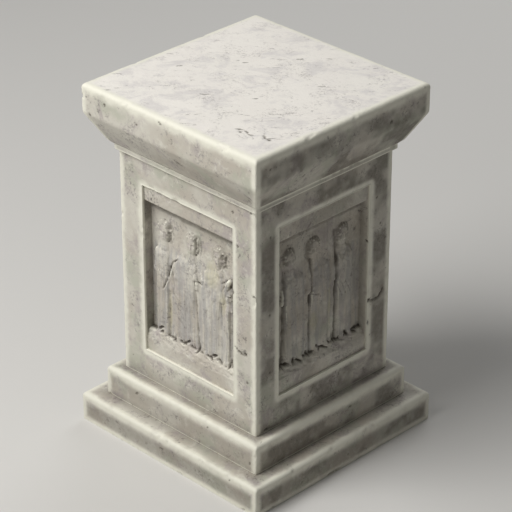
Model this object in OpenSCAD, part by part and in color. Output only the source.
// Square stone pedestal: two stepped plinths, a die with a sunk figured panel on each side, a splayed cap.
// Millimetres, +Z up, origin at the middle of the underside.

/* [Plinths] */
// Side of the square lower plinth, the widest stone
base_side = 600; // [500:10:720]
// Height of the lower plinth
lower_plinth_h = 75; // [60:5:110]
// How far the upper plinth stands back from the lower one on each side
plinth_step = 44; // [36:1:54]
// Height of the upper plinth
upper_plinth_h = 75; // [60:5:110]

/* [Die] */
// How far the die stands back from the upper plinth on each side
die_step = 32; // [26:1:40]
// Height of the die
die_h = 588; // [490:2:710]

/* [Cap] */
// How far the fascia of the cap stands out past the die
cap_reach = 58; // [48:2:70]
// Height of the whole cap
cap_h = 166; // [138:2:200]
// Height of the flat fascia at the top of the cap
fascia_h = 72; // [60:2:86]

/* [Panels] */
// Width of the plain frame at each side of a panel
stile_w = 76; // [63:1:92]
// Height of the plain frame above a panel
top_rail_h = 70; // [58:1:84]
// Height of the plain frame below a panel
bottom_rail_h = 79; // [66:1:94]
// Depth of the flat bands inside the frame
band_depth = 7; // [5:1:9]
// Depth of the sunk field behind the figures
field_depth = 30; // [25:1:35]
// Height of the flat band above the figures
top_band_h = 41; // [34:1:48]
// Height of the flat band below the ground that the figures stand on
bottom_band_h = 35; // [29:1:41]

/* [Figures] */
// How far the robes and heads stand out of the sunk field
figure_depth = 14; // [11:1:17]
// Folds across the widest robe
folds = 6; // [4:1:8]
// Height of a head as a share of the whole figure
head_share = 0.19; // [0.16:0.005:0.21]

/* [Arrises] */
// Radius of the worn top arrises of the cap and plinths
top_arris_r = 9; // [5:1:12]
// Radius of the upright corners of every stone
corner_r = 6; // [3:1:9]

/* [Hidden] */
$fn = 48;
stone = "#c9c3b4";

upper_side = base_side - 2 * plinth_step;
die_side = upper_side - 2 * die_step;
upper_z = lower_plinth_h;
die_z = upper_z + upper_plinth_h;
cap_z = die_z + die_h;

// Cap profile: reach past the die and height above the bed
bed_reach = 8;
bed_h = 13;
splay_foot_reach = 20;
splay_foot_h = 24;
fascia_foot_reach = cap_reach - 4;
fascia_foot_round = 7;

// Panel opening, measured on one face of the die
open_w = die_side - 2 * stile_w;
open_h = die_h - top_rail_h - bottom_rail_h;
open_bevel = 3;
overlap = 2;

// Relief: figures and ground are kept behind the plane of the flat bands
relief = field_depth - band_depth;
ground_rise = 19;
ground_back = 6;
ground_z = bottom_band_h + ground_rise;
head_room = 42;
figure_h = open_h - top_band_h - ground_z - head_room;
hem_z = 12;
foot_r = 6;
arm_proud = 2;

// One row per figure, left to right: place and width of the robe and place of the head, as shares of the
// opening, height as a share of the tallest figure, then the left and the right hand as [place, height],
// shares of the opening and of the figure. An empty hand is wrapped in the cloak.
front_row = [
  [-0.365, 0.185, -0.345, 1, [], [-0.32, 0.52]],
  [-0.117, 0.28, -0.034, 1, [-0.2, 0.56], [0.02, 0.65]],
  [0.184, 0.25, 0.27, 1, [0.1, 0.65], [0.385, 0.74]],
  [0.37, 0.1, 0.375, 0.7, [], []]
];
side_row = [
  [-0.256, 0.262, -0.304, 1, [-0.27, 0.6], [-0.22, 0.58]],
  [0.035, 0.28, -0.039, 1, [-0.03, 0.58], [0.03, 0.63]],
  [0.3125, 0.227, 0.287, 1, [0.31, 0.62], []]
];
widest = 0.28;
plain_row = [for (place = [-0.31, 0, 0.31]) [place, widest, place, 0.98, [], []]];
// Turn about the upright axis, and the row of figures carved on that face
faces = [[0, front_row], [90, side_row], [180, plain_row], [270, plain_row]];

// The points of one half of a symmetric outline, followed by their mirror image
function both_sides(half) = concat(half, [for (i = [len(half) - 1 : -1 : 0]) [-half[i][0], half[i][1]]]);

// Square with round corners, centred
module round_square(side, r) {
  square([side, side - 2 * r], center = true);
  square([side - 2 * r, side], center = true);
  for (sx = [-1, 1], sy = [-1, 1])
    translate([sx * (side / 2 - r), sy * (side / 2 - r)])
      circle(r = r);
}

// Upright section of a block with round top arrises, standing on the line y = 0
module arris_section(side, h, r) {
  translate([-side / 2, 0])
    square([side, h - r]);
  translate([-side / 2 + r, 0])
    square([side - 2 * r, h]);
  for (s = [-1, 1])
    translate([s * (side / 2 - r), h - r])
      circle(r = r);
}

// Runs an upright section through the block along one axis
module run_through(length) {
  rotate([90, 0, 0])
    translate([0, 0, -length / 2])
      linear_extrude(length)
        children();
}

// Square slab with round upright corners and worn top arrises
module slab(side, h) {
  intersection() {
    linear_extrude(h)
      round_square(side, corner_r);
    run_through(side + 2)
      arris_section(side, h, top_arris_r);
    rotate([0, 0, 90])
      run_through(side + 2)
        arris_section(side, h, top_arris_r);
  }
}

// Section of the cap: bed fillet, narrow soffit, straight splay and upright fascia
module cap_section() {
  half = die_side / 2;
  foot = cap_h - fascia_h;
  moulding = [
    [half + bed_reach, 0],
    [half + bed_reach, bed_h],
    [half + splay_foot_reach, splay_foot_h],
    [half + fascia_foot_reach, foot - fascia_foot_round],
    [half + cap_reach, foot],
    [half + cap_reach, cap_h]
  ];
  intersection() {
    polygon(both_sides(moulding));
    arris_section(2 * (half + cap_reach), cap_h, top_arris_r);
  }
}

// A straight eight-sided limb from one point to another, run a little past both
module limb(from, to, r) {
  way = to - from;
  reach = norm(way);
  past = 0.4 * r;
  translate(from)
    rotate([0, acos(way[2] / reach), atan2(way[1], way[0])])
      translate([0, 0, -past])
        cylinder(h = reach + 2 * past, r = r, $fn = 8);
}

// Draws an outline of depth and height through a body of the given width, x across
module side_outline(width, points) {
  rotate([90, 0, 90])
    translate([0, 0, -width / 2])
      linear_extrude(width)
        polygon(points);
}

// Draws an outline of width and height through a body of the given depth, y out of the field
module front_outline(depth, points) {
  rotate([90, 0, 0])
    translate([0, 0, -depth])
      linear_extrude(depth + overlap)
        polygon(points);
}

// Plan of a robe: an arch across the figure, cut by upright flutes between the folds
flute_cut = 0.3;
function robe_depth(t, d, n) =
  d * pow(1 - pow(abs(2 * t - 1), 3), 0.6) * (1 - flute_cut * pow(abs(cos(180 * n * t)), 4));
function robe_plan(w, d, n) = concat(
  [[w / 2, -overlap], [-w / 2, -overlap]],
  [for (i = [0 : 4 * n]) let (t = i / (4 * n)) [w * (t - 0.5), robe_depth(t, d, n)]]
);

// Outlines of a robe of height 1: half of it from the front, and its depth from the side
robe_front = [[0.5, 0], [0.45, 0.4], [0.49, 0.62], [0.48, 0.7], [0.4, 0.75], [0.14, 0.8]];
robe_side = [[-0.1, 0], [1, 0], [0.88, 0.35], [1, 0.6], [0.92, 0.72], [0.62, 0.8], [-0.1, 0.8]];

// How far a figure has swayed across by the given share of its height, when its neck is off by lean
function sway(lean, share) = lean * pow(share, 3) / pow(0.8, 3);

// Robe of one figure, hanging from the neck to the hem
module robe(w, d, h, n, lean) {
  intersection() {
    translate([lean / 2, 0, hem_z])
      linear_extrude(h)
        polygon(robe_plan(w + abs(lean), d, n));
    front_outline(d + 1, [for (p = both_sides(robe_front)) [p[0] * w + sway(lean, p[1]), p[1] * h]]);
    side_outline(2 * w, [for (p = robe_side) [p[0] * d, p[1] * h]]);
  }
}

// Plan of a head: an arch of the given half width that reaches out to depth d
function head_plan(half, d) = concat(
  [[half, -overlap], [-half, -overlap]],
  [for (a = [180 : -22.5 : 0]) [half * cos(a), d * pow(sin(a), 0.6)]]
);

// Outlines of a head of height 1: face, ring of hair round it, then face and nose from the side
face_front = [[0.12, 0], [0.24, 0.14], [0.29, 0.42], [0.29, 0.66], [0.22, 0.86], [0.1, 0.95]];
hair_front = [
  [0.24, 0.28], [0.33, 0.3], [0.36, 0.6], [0.3, 0.86], [0.15, 1],
  [-0.15, 1], [-0.3, 0.86], [-0.36, 0.6], [-0.33, 0.3], [-0.24, 0.28],
  [-0.26, 0.64], [-0.15, 0.82], [0.15, 0.82], [0.26, 0.64]
];
face_side = [
  [-0.1, 0], [0.8, 0.02], [0.76, 0.2], [0.84, 0.5], [0.9, 0.62], [0.82, 0.86], [0.5, 0.95], [-0.1, 0.95]
];
nose_side = [[0.7, 0.62], [0.98, 0.4], [0.7, 0.36]];

// Head of one figure with its neck, half sunk into the field
module head(hh, d) {
  intersection() {
    linear_extrude(hh)
      polygon(head_plan(0.3 * hh, d));
    front_outline(d, hh * both_sides(face_front));
    side_outline(hh, [for (p = face_side) [p[0] * d, p[1] * hh]]);
  }
  side_outline(0.1 * hh, [for (p = nose_side) [p[0] * d, p[1] * hh]]);
  front_outline(0.74 * d, hh * hair_front);
  translate([0, 0.1 * d, -0.2 * hh])
    cylinder(h = 0.4 * hh, r = 0.16 * hh, $fn = 8);
}

// One arm: from the shoulder down to the elbow on side s, and on to the hand at [across, up]
module arm(w, d, h, s, hand, lean) {
  r = 0.024 * h;
  y = d + arm_proud - r;
  elbow = [s * 0.44 * w + sway(lean, 0.55), y, 0.55 * h];
  limb([s * 0.38 * w + sway(lean, 0.7), y - 3, 0.7 * h], elbow, r);
  limb(elbow, [hand[0], y, hand[1]], 0.85 * r);
}

// One draped figure with its feet on z = 0, standing as its row says
module figure(row, n) {
  w = row[1] * open_w;
  h = row[3] * figure_h;
  lean = (row[2] - row[0]) * open_w;
  translate([row[0] * open_w, 0, 0]) {
    robe(w, figure_depth, h, n, lean);
    for (s = [-1, 1]) {
      hand = row[s < 0 ? 4 : 5];
      if (len(hand) > 0)
        arm(w, figure_depth, h, s, [(hand[0] - row[0]) * open_w, hand[1] * h], lean);
      heel = [s * 0.17 * w, figure_depth / 2, foot_r - 1];
      toe = [s * 0.2 * w, figure_depth - 2, foot_r - 1];
      limb(heel, toe, foot_r);
    }
  }
  translate([row[2] * open_w, 0, (1 - head_share) * h])
    head(head_share * h, figure_depth);
}

// The opening of one panel, from a bevel at the face to the field: x across, y into the stone
module opening() {
  half_w = open_w / 2;
  across = [
    [half_w + open_bevel + overlap, -overlap], [half_w, open_bevel], [half_w, field_depth]
  ];
  upward = [
    [-overlap, -open_bevel - overlap], [open_bevel, 0], [field_depth, 0],
    [field_depth, open_h], [open_bevel, open_h], [-overlap, open_h + open_bevel + overlap]
  ];
  intersection() {
    translate([0, 0, -open_bevel])
      linear_extrude(open_h + 2 * open_bevel)
        polygon(both_sides(across));
    side_outline(open_w + 4 * open_bevel, upward);
  }
}

// Flat bands above and below, and the rough ground that rises from the lower band
module bands_and_ground() {
  side_outline(open_w + 2 * overlap, [
    [-overlap, -overlap], [relief, -overlap], [relief, bottom_band_h],
    [relief - ground_back, ground_z], [-overlap, ground_z]
  ]);
  translate([-open_w / 2 - overlap, -overlap, open_h - top_band_h])
    cube([open_w + 2 * overlap, relief + overlap, top_band_h + overlap]);
}

// Everything carved inside one opening, with the field at y = 0 and y out of it
module carving(row) {
  intersection() {
    union() {
      bands_and_ground();
      for (one = row)
        translate([0, 0, ground_z - overlap])
          figure(one, max(2, round(folds * one[1] / widest)));
    }
    translate([-open_w / 2 - 1, -1, -1])
      cube([open_w + 2, relief + 1, open_h + 2]);
  }
}

// One face of the die, turned to its side: the block's share is cut, and the carving put in
module on_face(turn) {
  rotate([0, 0, turn])
    translate([0, -die_side / 2, 0])
      children();
}

module lower_plinth() {
  color(stone)
    slab(base_side, lower_plinth_h);
}

module upper_plinth() {
  color(stone)
    translate([0, 0, upper_z])
      slab(upper_side, upper_plinth_h);
}

module die() {
  color(stone)
    translate([0, 0, die_z]) {
      difference() {
        linear_extrude(die_h)
          round_square(die_side, corner_r);
        for (face = faces)
          on_face(face[0])
            translate([0, 0, bottom_rail_h])
              opening();
      }
      for (face = faces)
        on_face(face[0])
          translate([0, field_depth, bottom_rail_h])
            mirror([0, 1, 0])
              carving(face[1]);
    }
}

module cap() {
  color(stone)
    translate([0, 0, cap_z])
      intersection() {
        linear_extrude(cap_h)
          round_square(die_side + 2 * cap_reach, corner_r);
        run_through(die_side + 2 * cap_reach + 2)
          cap_section();
        rotate([0, 0, 90])
          run_through(die_side + 2 * cap_reach + 2)
            cap_section();
      }
}

lower_plinth();
upper_plinth();
die();
cap();
